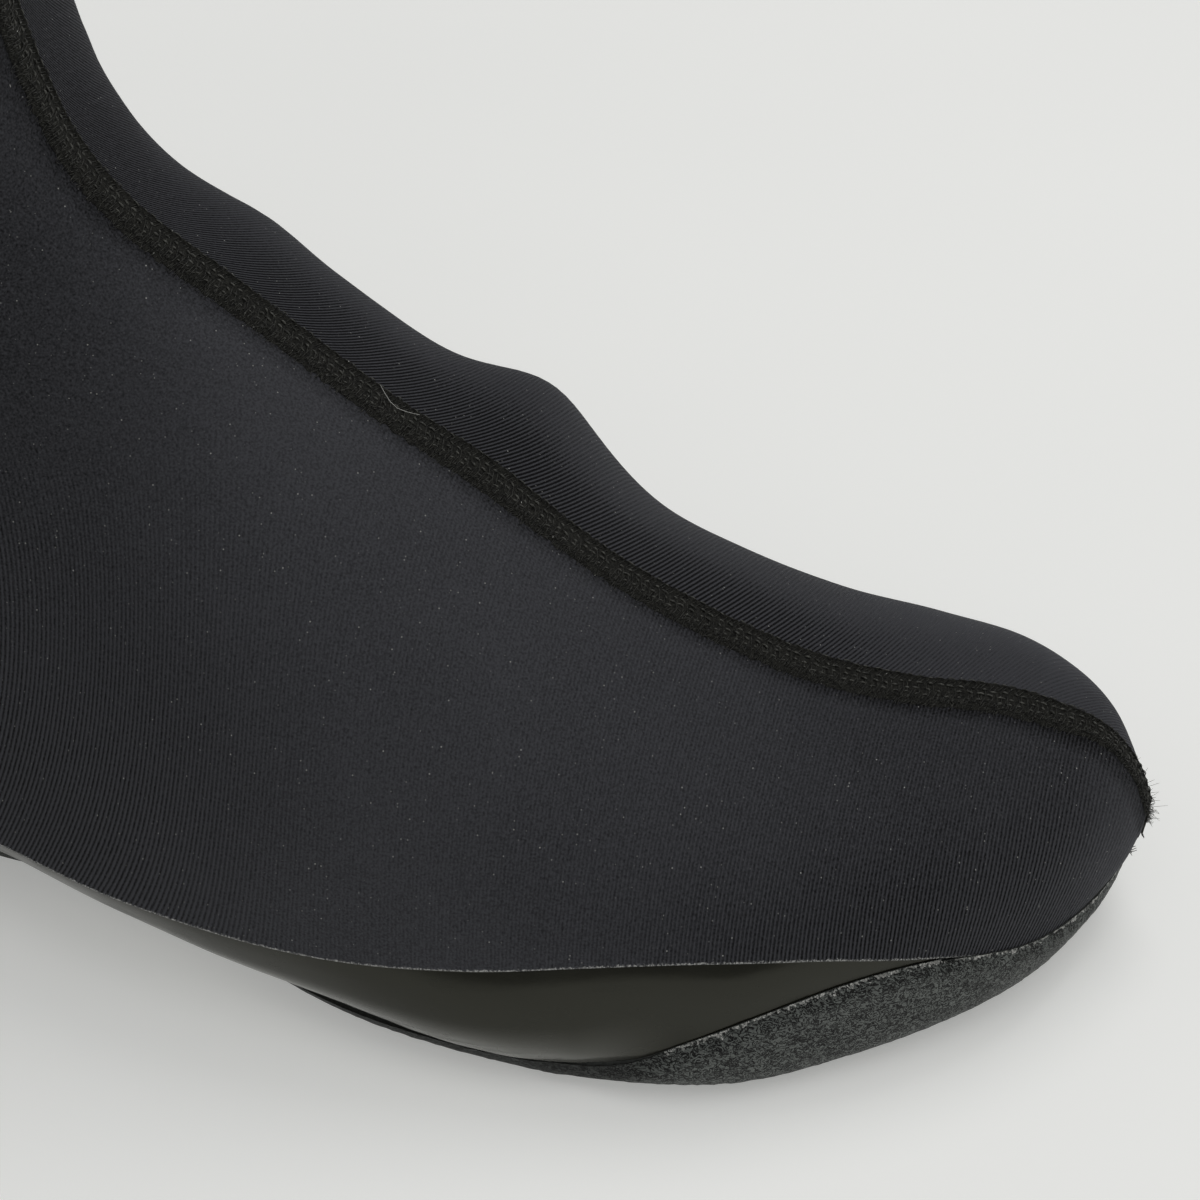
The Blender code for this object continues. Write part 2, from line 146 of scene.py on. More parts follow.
def walked(points):
    """Distance along a line of points, from its first one."""
    return np.concatenate([[0], np.cumsum(np.linalg.norm(np.diff(points, axis=0), axis=1))])


def unit(vectors):
    """Vectors brought to a length of 1."""
    return vectors / np.linalg.norm(vectors, axis=-1, keepdims=True)


def half_section(row, side):
    """One side of a section from the seam to the sole, as even steps of its girth."""
    heights_up = np.cos(np.linspace(0, math.pi, 241))
    upper = heights_up >= 0
    above = row["outer_power"] if side < 0 else row["inner_power"]
    power = np.where(upper, above, row["bottom_power"])
    across = (1 - np.abs(heights_up) ** power) ** (1 / power)
    share = row["level"] + heights_up * np.where(upper, 1 - row["level"], row["level"])
    half = -row["outer"] if side < 0 else row["inner"]
    y = row["seam_y"] + (half - row["seam_y"]) * across
    back = row["bottom_back"] + (row["top_back"] - row["bottom_back"]) * share
    z = row["bottom_z"] + (row["top_z"] - row["bottom_z"]) * share
    points = np.stack([-back, y, z], axis=-1)
    along = walked(points)
    even = np.linspace(0, along[-1], len(GIRTHS) // 2 + 1)
    return np.stack([np.interp(even, along, points[:, axis]) for axis in range(3)], axis=-1)


def outward(points):
    """Unit normals of whole sections: rows run from toe to collar, columns round the girth."""
    loop = points[:, :-1]
    facing = unit(np.cross(np.roll(loop, -1, axis=1) - np.roll(loop, 1, axis=1), np.gradient(loop, axis=0)))
    return np.concatenate([facing, facing[:, :1]], axis=1)


def shoe_form(places):
    """The shoe's outer form at places along the section table: points and normals round each section."""
    points = []
    for values in smooth_table(SECTIONS, places):
        row = dict(zip(SECTION_COLUMNS, values))
        points.append(np.concatenate([half_section(row, -1)[:0:-1], half_section(row, 1)]))
    points = np.array(points)
    lift = np.zeros(points.shape[:2])
    backs, heights = -points[..., 0], points[..., 2]
    for back, girth, height, length, reach in FOLDS:
        lift += height * np.exp(-((backs - back) / length) ** 2 - ((GIRTHS - girth) / reach) ** 2)
    back, height, length, reach = TOE_PAD
    lift += PAD_LIFT * np.exp(-((backs - back) / length) ** 2 - ((heights - height) / reach) ** 2)
    points = points + outward(points) * lift[..., None]
    return points, outward(points)


def line_height(rows, backs):
    """Height of a cut line, drawn in the side view, at distances behind the toe."""
    line = smooth_table(rows, np.linspace(0, len(rows) - 1, 240))
    return np.interp(backs, line[:, 0], line[:, 1])


def cut_places(covered):
    """Girth shares at which each side of each section passes from covered (above 0) to bare."""
    walk = np.linspace(0, 1, 1201)
    found = np.ones((len(covered), 2))
    for i, values in enumerate(covered):
        for k, side in enumerate((-1, 1)):
            here = np.interp(side * walk, GIRTHS, values)
            bare = np.nonzero(here < 0)[0]
            if len(bare) and bare[0] > 0:
                j = bare[0]
                found[i, k] = walk[j - 1] + (walk[j] - walk[j - 1]) * here[j - 1] / (here[j - 1] - here[j])
    return found


def take(values, girths):
    """Values of each section read at chosen places round it."""
    return np.array([
        np.stack([np.interp(places, GIRTHS, column) for column in section.T], axis=-1)
        for section, places in zip(values, girths)
    ])


def girth_lengths(points):
    """Length in mm of the outer and the inner half of each section."""
    steps = np.linalg.norm(np.diff(points, axis=1), axis=2)
    middle = steps.shape[1] // 2
    return np.stack([steps[:, :middle].sum(axis=1), steps[:, middle:].sum(axis=1)], axis=1)


def grid_faces(numbers, turned=False):
    """Four-cornered faces over a grid of vertex numbers."""
    corners = np.stack(
        [numbers[:-1, :-1], numbers[:-1, 1:], numbers[1:, 1:], numbers[1:, :-1]], axis=-1
    ).reshape(-1, 4)
    return (corners[:, ::-1] if turned else corners).tolist()


def soft_step(values, low, high):
    """0 at low, 1 at high, and a smooth rise between; low may be the larger."""
    share = np.clip((np.asarray(values) - low) / (high - low), 0, 1)
    return share * share * (3 - 2 * share)


def make_piece(name, points, face_sets, marks, weld=True):
    """A mesh in the row frame from millimetre points, with one material for each set of faces and
    named marks, one number a point, for the materials to read. It rides on the shoe's one body."""
    mesh = bpy.data.meshes.new(name)
    faces = [face for face_set, _ in face_sets for face in face_set]
    mesh.from_pydata(((points + TOE_TIP) * MM).tolist(), [], faces)
    for _, material in face_sets:
        mesh.materials.append(material)
    owners = np.concatenate([np.full(len(s), i) for i, (s, _) in enumerate(face_sets)])
    mesh.polygons.foreach_set("material_index", owners.astype(np.int32))
    for mark, values in marks.items():
        layer = mesh.attributes.new(mark, "FLOAT", "POINT")
        layer.data.foreach_set("value", np.asarray(values, np.float32).ravel())
    if weld:
        shape = bmesh.new()
        shape.from_mesh(mesh)
        bmesh.ops.remove_doubles(shape, verts=shape.verts, dist=2e-6)
        shape.to_mesh(mesh)
        shape.free()
    mesh.validate()
    mesh.shade_smooth()
    made = bpy.data.objects.new(name, mesh)
    bpy.context.scene.collection.objects.link(made)
    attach(made, "root")
    return made


def start_finish(name, roughness, specular):
    """A new material, its node tree and its surface."""
    material = bpy.data.materials.new(name)
    material.use_nodes = True
    tree = material.node_tree
    surface = tree.nodes["Principled BSDF"]
    surface.inputs["Roughness"].default_value = roughness
    surface.inputs["Specular IOR Level"].default_value = specular
    return material, tree, surface


def plug(socket, value):
    """Joins a socket to another one of its tree, or sets its number or colour."""
    if isinstance(value, bpy.types.NodeSocket):
        socket.id_data.links.new(value, socket)
    elif isinstance(value, tuple) and len(value) == 3 and socket.type == "RGBA":
        socket.default_value = (*value, 1.0)
    else:
        socket.default_value = value


def reckon(operation, *values):
    """One step of arithmetic between a socket and other sockets or numbers."""
    made = values[0].id_data.nodes.new("ShaderNodeMath")
    made.operation = operation
    for socket, value in zip(made.inputs, values):
        plug(socket, value)
    return made.outputs[0]


def ramp(value, low, high, out_low=0.0, out_high=1.0):
    """A smooth change from out_low to out_high as a value passes from low to high."""
    made = value.id_data.nodes.new("ShaderNodeMapRange")
    made.interpolation_type = "SMOOTHSTEP"
    for socket, number in zip(made.inputs, (value, low, high, out_low, out_high)):
        plug(socket, number)
    return made.outputs[0]


def tint(share, first, second):
    """A colour that goes from the first to the second."""
    made = share.id_data.nodes.new("ShaderNodeMix")
    made.data_type = "RGBA"
    sockets = [s for s in made.inputs if s.enabled]
    for socket, value in zip(sockets, (share, first, second)):
        plug(socket, value)
    return next(s for s in made.outputs if s.enabled)


def mark_of(tree, name):
    """A mark kept on the mesh's points."""
    made = tree.nodes.new("ShaderNodeAttribute")
    made.attribute_name = name
    return made.outputs["Fac"]


def place_of(tree, stretch=(1.0, 1.0, 1.0), turn=(0.0, 0.0, 0.0)):
    """The place on the shoe in metres, turned and stretched for a texture."""
    place = tree.nodes.new("ShaderNodeTexCoord").outputs["Object"]
    made = tree.nodes.new("ShaderNodeMapping")
    made.inputs["Rotation"].default_value = turn
    made.inputs["Scale"].default_value = stretch
    plug(made.inputs["Vector"], place)
    return made.outputs["Vector"]


def mottle(place, size, detail=2.0, roughness=0.5, swirl=0.0):
    """Cloudy noise with lumps of a size in metres, around 0.5."""
    made = place.id_data.nodes.new("ShaderNodeTexNoise")
    plug(made.inputs["Vector"], place)
    made.inputs["Scale"].default_value = 1 / size
    made.inputs["Detail"].default_value = detail
    made.inputs["Roughness"].default_value = roughness
    made.inputs["Distortion"].default_value = swirl
    return made.outputs["Fac"]


def specks(place, spacing, radius, fewer=4.0):
    """Round specks up to a radius, scattered about a spacing apart: most are faint and a few bright."""
    made = place.id_data.nodes.new("ShaderNodeTexVoronoi")
    plug(made.inputs["Vector"], place)
    made.inputs["Scale"].default_value = 1 / spacing
    chance = place.id_data.nodes.new("ShaderNodeSeparateColor")
    plug(chance.inputs["Color"], made.outputs["Color"])
    bright = reckon("POWER", chance.outputs["Red"], fewer)
    rim = radius / spacing
    return reckon("MULTIPLY", ramp(made.outputs["Distance"], rim, 0.4 * rim), bright)


def relief(surface, height, depth, strength=1.0):
    """Fine relief of a depth in metres."""
    made = surface.id_data.nodes.new("ShaderNodeBump")
    made.inputs["Strength"].default_value = strength
    made.inputs["Distance"].default_value = depth
    plug(made.inputs["Height"], height)
    plug(surface.inputs["Normal"], made.outputs["Normal"])


def jersey_finish():
    """Matt black jersey: fine ribs from a mark on the mesh, painted light and shade, lint, and a pale raw
    lower edge.
    """
    material, tree, surface = start_finish("ribbed_jersey", roughness=0.75, specular=0.09)
    surface.inputs["Sheen Weight"].default_value = 0.035
    surface.inputs["Sheen Roughness"].default_value = 0.40
    surface.inputs["Sheen Tint"].default_value = (0.86, 0.90, 1.0, 1.0)
    place = place_of(tree)
    # Fine fuzz: a small bump, and in the colour light and dark flecks that are painted glints and shade of
    # the yarn.
    fuzz_and_glints = mottle(place, size=0.00040)
    clouds = mottle(place, size=0.030)
    turns = reckon("MULTIPLY", mark_of(tree, "rib"), 2 * math.pi)
    wave = reckon("MULTIPLY_ADD", reckon("SINE", turns), 0.5, 0.5)
    ridge = reckon("POWER", wave, 1.1)
    depth = mark_of(tree, "rib_depth")
    # Painted shade in the grooves, as deep as the rib depth.
    groove = reckon("MULTIPLY", reckon("MULTIPLY_ADD", ridge, -1.0, 1.0), depth)
    # The shade mark adds painted shade and painted light by place on the shoe.
    shaded = reckon("ADD", groove, mark_of(tree, "shade"))
    patch = reckon("MULTIPLY_ADD", reckon("SUBTRACT", clouds, 0.5), 0.25, shaded)
    painted_light_shade_and_mottle = reckon("MULTIPLY_ADD", reckon("SUBTRACT", fuzz_and_glints, 0.5), 1.5, patch)
    cloth = tint(painted_light_shade_and_mottle, JERSEY_RIDGE, JERSEY_GROOVE_SHADE)
    dots = specks(place, spacing=0.0011, radius=0.00016)
    drawn_out = place_of(tree, stretch=(1.0, 1.0, 0.16), turn=(0.6, 0.5, 0.0))
    fibres = specks(drawn_out, spacing=0.0034, radius=0.00012, fewer=2.0)
    dusted = tint(reckon("MAXIMUM", dots, fibres), cloth, LINT)
    frayed = mottle(place, size=0.0005, detail=3.0, roughness=0.7)
    reach = reckon("MULTIPLY_ADD", frayed, 1.5, -0.45)
    raw = ramp(reckon("SUBTRACT", reach, mark_of(tree, "from_edge")), -0.10, 0.25)
    fibre = tint(ramp(mottle(place, size=0.00025), 0.35, 0.65), RAW_EDGE_DARK, RAW_EDGE)
    plug(surface.inputs["Base Color"], tint(raw, dusted, fibre))
    ribs = reckon("MULTIPLY", ridge, reckon("MINIMUM", reckon("MULTIPLY", depth, 1.5), 1.0))
    relief(surface, reckon("MULTIPLY_ADD", fuzz_and_glints, 0.35, ribs), depth=0.00024, strength=0.9)
    return material


def grainy_finish(name, roughness, specular, size, dark, light, depth):
    """A dull, dark face with one fine grain: its size and depth in metres, and its two tones."""
    material, tree, surface = start_finish(name, roughness, specular)
    grain = mottle(place_of(tree), size, detail=3.0)
    plug(surface.inputs["Base Color"], tint(grain, dark, light))
    relief(surface, grain, depth)
    return material


brushed_lining = grainy_finish("brushed_lining", 0.92, 0.15, 0.0008, LINING_DARK, LINING, 0.0003)
cut_foam = grainy_finish("cut_foam", 0.90, 0.20, 0.0003, CUT_FOAM_DARK, CUT_FOAM, 0.0002)


def upper_marks(points, girth_mm, edge_mm):
    """Rib number, rib depth, painted shade and light, and distance from the raw edge at each point of the
    upper's face.
    """
    back, z = -points[..., 0], points[..., 2]
    pitch_places = np.arange(-20, 330.5, 0.5)
    pitch = NEAR_RIB_TOE + (NEAR_RIB_ANKLE - NEAR_RIB_TOE) * soft_step(pitch_places, *RIBS_WIDEN)
    counted = np.cumsum(0.5 / pitch)
    curl = RIB_CURL * soft_step(back, *ANKLE_CURLED) * (z - RIB_CURL_Z) ** 2
    swept = back - TOE_SWEEP * np.maximum(TOE_SWEEP_Z - z, 0.0) ** 2 * soft_step(back, *TOE_SWEPT)
    near = curl / NEAR_RIB_ANKLE - np.interp(swept, pitch_places, counted)
    middle = points.shape[1] // 2
    along = walked(points[:, middle])
    lean = np.interp(along, *np.array(FAR_LEAN).T)
    reach = np.minimum(girth_mm, FAR_RIB_REACH)
    far = (along[:, None] - lean[:, None] * (reach - reach**2 / (2 * FAR_RIB_REACH))) / FAR_RIB
    on_far = np.arange(points.shape[1]) > middle

    begin, far_toe = soft_step(back, *RIBS_BEGIN), soft_step(back, *FAR_TOE)
    ribbed = np.maximum(
        soft_step(back, *TOE_RIBS) * soft_step(z, *TOE_RIBS_UP) * begin,
        soft_step(back, *HEEL_RIBS) * soft_step(z, *HEEL_RIBS_UP),
    )
    # The rib depth also sets the painted shade in the grooves.
    near_depth = (
        RIB_DEPTH["near"] + RIB_DEPTH["low side"] * soft_step(z, *LOW_SIDE_UP)
        + RIB_DEPTH["forefoot"] * soft_step(back, *FOREFOOT) * begin + RIB_DEPTH["ribbed"] * ribbed
    )
    bend = soft_step(girth_mm, *FAR_BEND_ROUND) * soft_step(back, *FAR_BEND)
    far_depth = (RIB_DEPTH["far"] + RIB_DEPTH["far bend"] * bend) * (1 - FAR_TOE_SOFTER * far_toe)
    # Painted shade beside the seam, up the ankle and on the toe's top. The plain near side is a little darker
    # and the deeply ribbed parts lighter. The far side is painted lighter, most at its toe, and darker at its
    # ankle.
    near_shade = (
        PAINTED_LIGHT_AND_SHADE["near"] * (1 - ribbed) + PAINTED_LIGHT_AND_SHADE["ribbed"] * ribbed
        + PAINTED_LIGHT_AND_SHADE["seam side"] * soft_step(girth_mm, *SEAM_SIDE_ROUND)
        + PAINTED_LIGHT_AND_SHADE["ankle"] * soft_step(back, *ANKLE) * soft_step(z, *ANKLE_UP)
        + PAINTED_LIGHT_AND_SHADE["toe top"] * soft_step(back, *TOE_TOP) * soft_step(z, *TOE_TOP_UP)
    )
    far_shade = PAINTED_LIGHT_AND_SHADE["far"] + PAINTED_LIGHT_AND_SHADE["far ankle"] * soft_step(back, *FAR_ANKLE) + PAINTED_LIGHT_AND_SHADE["far toe"] * far_toe
    plain = soft_step(back, *PLAIN_HEEL)
    depth = np.where(on_far, far_depth, near_depth) * plain
    return np.where(on_far, far, near), depth, np.where(on_far, far_shade, near_shade) * plain, edge_mm


def make_upper():
    places = np.linspace(0, len(SECTIONS) - 1, UPPER_ROWS)
    form, facing = shoe_form(places)
    edges = cut_places(form[..., 2] - line_height(JERSEY_EDGE, -form[..., 0]))
    lengths = girth_lengths(form)
    rows = np.arange(UPPER_ROWS)
    cut = edges.copy()
    for k in (0, 1):
        opened = rows[edges[:, k] < 1]
        cut[:, k] = edges[np.clip(rows, opened[0], opened[-1]), k]
    girths, girth_mm, edge_mm = [], [], []
    for edge, line, length in zip(edges, cut, lengths):
        row, row_mm, row_edge = [], [], []
        for k in (0, 1):
            whole = line[k] * length[k]
            down = np.concatenate([
                np.linspace(0, whole - EDGE_STEPS[0], UPPER_SIDE_COLUMNS, endpoint=False),
                whole - EDGE_STEPS,
                whole + (edge[k] * length[k] - whole) * UNDER_STEPS,
            ])
            if k == 0:
                down = down[:0:-1]
            row.append(down / length[k] * (-1 if k == 0 else 1))
            row_mm.append(down)
            row_edge.append(np.where(edge[k] < 1, whole - down, FAR_FROM_EDGE))
        girths.append(np.concatenate(row))
        girth_mm.append(np.concatenate(row_mm))
        edge_mm.append(np.concatenate(row_edge))
    girths = np.array(girths)
    outer = take(form, girths)
    inner = outer - unit(take(facing, girths)) * WALL
    marks = upper_marks(outer, np.array(girth_mm), np.array(edge_mm))
    columns = outer.shape[1]
    first_inner = int(np.argmax(places >= LINING_START))
    up = unit(outer[-1] - outer[-2])
    rim_middle, rim_half = (outer[-1] + inner[-1]) / 2, (outer[-1] - inner[-1]) / 2
    bead = [
        rim_middle + rim_half * math.cos(a) + up * COLLAR_BEAD * math.sin(a)
        for a in np.linspace(0, math.pi, 8)[1:-1]
    ]
    middle = outer[0].mean(axis=0)
    dome = [
        middle + (outer[0] - middle) * math.cos(a) + np.array([NOSE_DOME * math.sin(a), 0, 0])
        for a in np.linspace(0, math.pi / 2, 6)[:0:-1]
    ]
    dome[0] = np.tile(middle + np.array([NOSE_DOME, 0, 0]), (columns, 1))
    skin = np.concatenate([dome, outer, bead, inner[first_inner:][::-1]])
    toe_end = np.tile(inner[first_inner].mean(axis=0), (1, columns, 1))
    skin = np.concatenate([skin, toe_end])
    numbers = np.arange(skin.shape[0] * columns).reshape(skin.shape[:2])
    turn_over = len(dome) + UPPER_ROWS + len(bead)
    sets = [
        (grid_faces(numbers[:turn_over]), jersey_finish()),
        (grid_faces(numbers[turn_over - 1:]), brushed_lining),
    ]
    rim = []
    open_rows = np.nonzero((edges < 1).any(axis=1))[0]
    for i in range(open_rows[0] - 1, open_rows[-1] + 1):
        out_row = len(dome) + i
        in_row = turn_over + (UPPER_ROWS - 1 - i)
        for column, turn in ((0, 1), (columns - 1, -1)):
            corners = [numbers[out_row, column], numbers[out_row + 1, column],
                       numbers[in_row - 1, column], numbers[in_row, column]]
            rim.append([int(n) for n in corners[::turn]])
    sets.append((rim, cut_foam))
    named = {}
    inside = (0.0, 0.3, 0.0, FAR_FROM_EDGE)
    for name, values, rest in zip(("rib", "rib_depth", "shade", "from_edge"), marks, inside):
        whole = np.full(skin.shape[:2], rest)
        whole[len(dome):len(dome) + UPPER_ROWS] = values
        whole[:len(dome)] = values[0]
        whole[len(dome) + UPPER_ROWS:turn_over] = values[-1]
        named[name] = whole
    upper = make_piece("jersey_upper", skin.reshape(-1, 3), sets, named)
    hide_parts("upper")


make_upper()

# The lower panel. Plain neoprene with its smooth, shiny rubber skin outside, closing the shoe round the
# sides and underneath. It is glued edge to edge under the jersey and lies a little below its face.
PANEL_STEP = 0.7
PANEL_RISE = 9.0
PANEL_JOINT = 0.05
PANEL_BULGE = 0.14   # of the band's height, above the sole's strip
PANEL_HOLLOW = 0.09  # of the band's height, above the bumper
ROLL_START = 0.46    # share of the band's height below which it turns under
ROLL_LEAN = 0.10     # extra turn of the gloss there, of the band's height
ARCH_TUCK = (
    (94.0, 0.0), (106.0, 1.2), (116.0, 2.2), (126.0, 2.8), (136.0, 2.9), (150.0, 3.0), (165.0, 3.9),
    (190.0, 4.4), (215.0, 2.4), (240.0, 0.4), (256.0, 0.0),
)
SOLE_THICKNESS = 2.4
SOLE_EDGE = (
    (-12.0, 13.6), (2.0, 13.6), (6.0, 13.7), (11.0, 14.8), (16.0, 16.3), (21.0, 18.2), (27.0, 19.9),
    (36.0, 20.6), (46.0, 19.2), (56.0, 16.4), (66.0, 12.2), (76.0, 7.8), (90.0, 6.4), (134.0, 9.0),
    (310.0, 9.0),
)  # the bumper's edge over the panel
# Soft steps, from and to, in mm: the swelling grows with the band's height, and the rest lie behind the toe.
BAND_TALL, BAND_ARCH = (5, 14), (138, 104)
BUMPER_ENDS, STRIP_STARTS = (100, 76), (66, 102)
PANEL_ROWS, PANEL_SIDE_COLUMNS = 220, 46
PANEL_EDGE_STEPS = np.linspace(0, 4, 8)
SMOOTH_SKIN = (0.0055, 0.0055, 0.0030)
SKIN_BLOOM = (0.0090, 0.0090, 0.0060)
PAINTED_EDGE_REFLECTION = (0.2700, 0.2700, 0.2500)  # pale band painted along the sole, a painted reflection of the floor


def shell_faces(rows, columns):
    """Faces of a thin sheet of two grids of points: over the first, over the second, and its cut sides."""
    numbers = np.arange(2 * rows * columns).reshape(2, rows, columns)
    around = [numbers[:, :, 0], numbers[::-1, :, -1], numbers[::-1, 0, :], numbers[:, -1, :]]
    sides = [face for strip in around for face in grid_faces(strip)]
    return grid_faces(numbers[0], turned=True), grid_faces(numbers[1]), sides


def arch_tuck(points, across, bottom, half):
    """How far the panel's lower outer side is drawn in under the arch, as a sideways move in mm."""
    back = -points[:, 0]
    low = bottom + SOLE_THICKNESS
    band = np.clip((points[:, 2] - low) / np.maximum(line_height(JERSEY_EDGE, back) - low, 1), 0, 1)
    depth = np.interp(back, *np.array(ARCH_TUCK).T) * (across < 0)
    move = np.zeros_like(points)
    move[:, 1] = depth * (1 - band) ** 1.2 * np.clip(-points[:, 1] / half, 0, 1) ** 2
    return move


def lower_rows(outside, share, joint, count, columns, steps):
    """Rows of a lower piece, from its outer edge under the sole to its inner edge, over the stretch that it
    covers. The columns crowd towards the edges by the steps, in mm, and the joint is left open there."""
    finest = np.linspace(0, len(SECTIONS) - 1, 1200)
    covered = np.nonzero((cut_places(outside(*shoe_form(finest))) < share).all(axis=1))[0]
    places = np.linspace(finest[covered[0]], finest[covered[-1]], count)
    form, facing = shoe_form(np.concatenate([[places[0] - 0.02], places, [places[-1] + 0.02]]))
    form, facing = form[1:-1], facing[1:-1]
    lengths = girth_lengths(form)
    edges = cut_places(outside(form, facing)) + joint / lengths
    for section, normals, edge, length in zip(form, facing, edges, lengths):
        halves = []
        for k in (0, 1):
            whole = (1 - edge[k]) * length[k]
            near_edge = np.minimum(steps, whole * steps / (2 * steps.max()))
            up = np.concatenate([near_edge, np.linspace(near_edge[-1], whole, columns)[1:]])
            halves.append(1 - (whole - up) / length[k])
        across = np.concatenate([-halves[0], halves[1][-2::-1]])
        points, normals = take((section, normals), (across, across))
        half = (across > 0).astype(int)
        bottom = section[:, 2].min()
        sole_top = bottom + SOLE_THICKNESS
        yield SimpleNamespace(
            points=points, normals=normals, back=-points[:, 0], z=points[:, 2],
            bottom=bottom, sole_top=sole_top,
            sink=PANEL_STEP * soft_step(points[:, 2], sole_top, sole_top + PANEL_RISE),
            edge_z=np.where(across < 0, points[0, 2], points[-1, 2]),
            from_edge=(np.abs(across) - edge[half]) * length[half],
            jersey_z=np.interp(across, GIRTHS, line_height(JERSEY_EDGE, -section[:, 0])),
            move=arch_tuck(points, across, bottom, -section[:, 1].min()),
        )


def smooth_skin_finish():
    """Smooth black rubber skin: satin gloss with faint paler clouds, a few dull rubs and a pale painted
    reflection along its lower edge.
    """
    material, tree, surface = start_finish("smooth_rubber_skin", roughness=0.20, specular=0.42)
    surface.inputs["Specular Tint"].default_value = (1.0, 1.0, 0.86, 1.0)
    place, band = place_of(tree), mark_of(tree, "band")
    clouds = mottle(place, size=0.018, detail=3.0)
    rubs = mottle(place_of(tree, stretch=(0.35, 1.0, 1.0)), size=0.004, detail=3.0)
    skin = tint(clouds, SMOOTH_SKIN, SKIN_BLOOM)
    # Painted reflection: the lower part of the band is painted pale, fading out about half way up. The gloss
    # on the turned-under relief adds a real reflection there too.
    painted_reflection = reckon("MULTIPLY", ramp(band, 0.52, -0.06), mark_of(tree, "painted_edge_reflection"))
    plug(surface.inputs["Base Color"], tint(painted_reflection, skin, PAINTED_EDGE_REFLECTION))
    plug(surface.inputs["Roughness"], ramp(rubs, 0.40, 0.75, 0.22, 0.32))
    turned = reckon("MAXIMUM", reckon("MULTIPLY_ADD", band, -1 / ROLL_START, 1.0), 0.0)
    drop = reckon("MULTIPLY", reckon("MULTIPLY", turned, turned), mark_of(tree, "roll"))
    ripple = mottle(place, size=0.0016)
    height = reckon("MULTIPLY_ADD", ripple, 0.015, reckon("MULTIPLY", drop, -1.0))
    relief(surface, height, depth=MM)
    return material


def make_lower_panel():
    def over_edge(form, _):
        return form[..., 2] - line_height(JERSEY_EDGE, -form[..., 0])

    outer, inner, marks = [], [], {"band": [], "roll": [], "painted_edge_reflection": []}
    for row in lower_rows(over_edge, 0.995, PANEL_JOINT, PANEL_ROWS, PANEL_SIDE_COLUMNS, PANEL_EDGE_STEPS):
        low = np.maximum(row.sole_top, line_height(SOLE_EDGE, row.back) * soft_step(row.back, *BUMPER_ENDS))
        tall = np.maximum(row.edge_z - low, 1)
        band = np.clip((row.z - low) / tall, 0, 1)
        fall = np.clip((band - ROLL_START) / (1 - ROLL_START), 0, 1)
        swell = np.where(band < ROLL_START, 1 - (band / ROLL_START - 1) ** 2, 1 - fall**2)
        full = tall * soft_step(tall, *BAND_TALL) * soft_step(row.back, *BAND_ARCH)
        strip = soft_step(row.back, *STRIP_STARTS)
        shape = strip * PANEL_BULGE * swell - (1 - strip) * PANEL_HOLLOW * band**2
        outer.append(row.points + row.move + row.normals * (full * shape - row.sink)[:, None])
        inner.append(row.points + row.move - row.normals * WALL)
        marks["band"].append(band)
        marks["roll"].append(ROLL_LEAN * full * strip)
        # Where the painted reflection lies: along the strip, not at the heel, and not under the sole.
        marks["painted_edge_reflection"].append(strip * soft_step(row.back, *PLAIN_HEEL) * (row.z > row.bottom + 0.5))
    finishes = (smooth_skin_finish(), brushed_lining, cut_foam)
    sets = list(zip(shell_faces(PANEL_ROWS, len(band)), finishes))
    marks = {name: np.tile(np.array(values), (2, 1)) for name, values in marks.items()}
    skin = np.concatenate([outer, inner]).reshape(-1, 3)
    panel = make_piece("smooth_lower_panel", skin, sets, marks)
    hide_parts("lower_panel")


make_lower_panel()

# The outsole. One sheet of hard-wearing rubber with a pebbled face, glued under the panel from heel to
# toe and turned up round the front as a bumper. Its edge is cut by hand and shows pale, torn rubber.
BUMPER_EDGE, BUMPER_RISE = 1.3, 14.0  # thickness at the bumper's edge, and height over which it thins
GLUE_LINE, FACE_ROOM = 0.05, 0.3
EDGE_ROUND, EDGE_ROUND_REACH = 0.45, (0.0, 0.9)
PARED_ON_JERSEY, PARED_ON_PANEL = 0.25, 0.20  # thickness left where the edge is pared away
PARED_REACH, LOW_PARING = (-0.4, 2.2), 0.72   # how far in, and its share along the low strip
HIGH_EDGE_RISE, HIGH_EDGE_TOE = (2, 7), (20, 10)
STRIP_TUCKED, STRIP_REACH = (126, 158), (2.5, 6.0)
FACE_ROUGH, FACE_ROUGH_SIZE = 0.12, 1.1
SOLE_OUTLINE = (
    (-12.0, 66.0, 66.0), (66.0, 63.0, 60.0), (80.0, 60.0, 54.0), (94.0, 57.5, 49.0), (108.0, 56.0, 44.0),
    (122.0, 54.0, 39.5), (138.0, 49.0, 35.5), (160.0, 40.0, 31.5), (190.0, 32.0, 30.0),
    (220.0, 30.5, 31.0), (246.0, 29.0, 29.5), (262.0, 25.0, 25.5), (271.0, 19.0, 19.5),
    (276.0, 10.0, 10.5), (277.5, 3.0, 3.0),
)
SOLE_ROWS, SOLE_SIDE_COLUMNS = 300, 52
SOLE_EDGE_STEPS = np.array([0.0, 0.2, 0.45, 0.8, 1.2, 1.7, 2.4])
# The grain's tops take the light colour and its pits the dark one, a painted highlight and shade.
PEBBLE = (0.1360, 0.1480, 0.1380)
PEBBLE_PIT = (0.0030, 0.0034, 0.0030)
TORN_RUBBER = (0.62, 0.62, 0.59)
CUT_RUBBER, CUT_RUBBER_DARK = (0.060, 0.064, 0.060), (0.012, 0.013, 0.012)


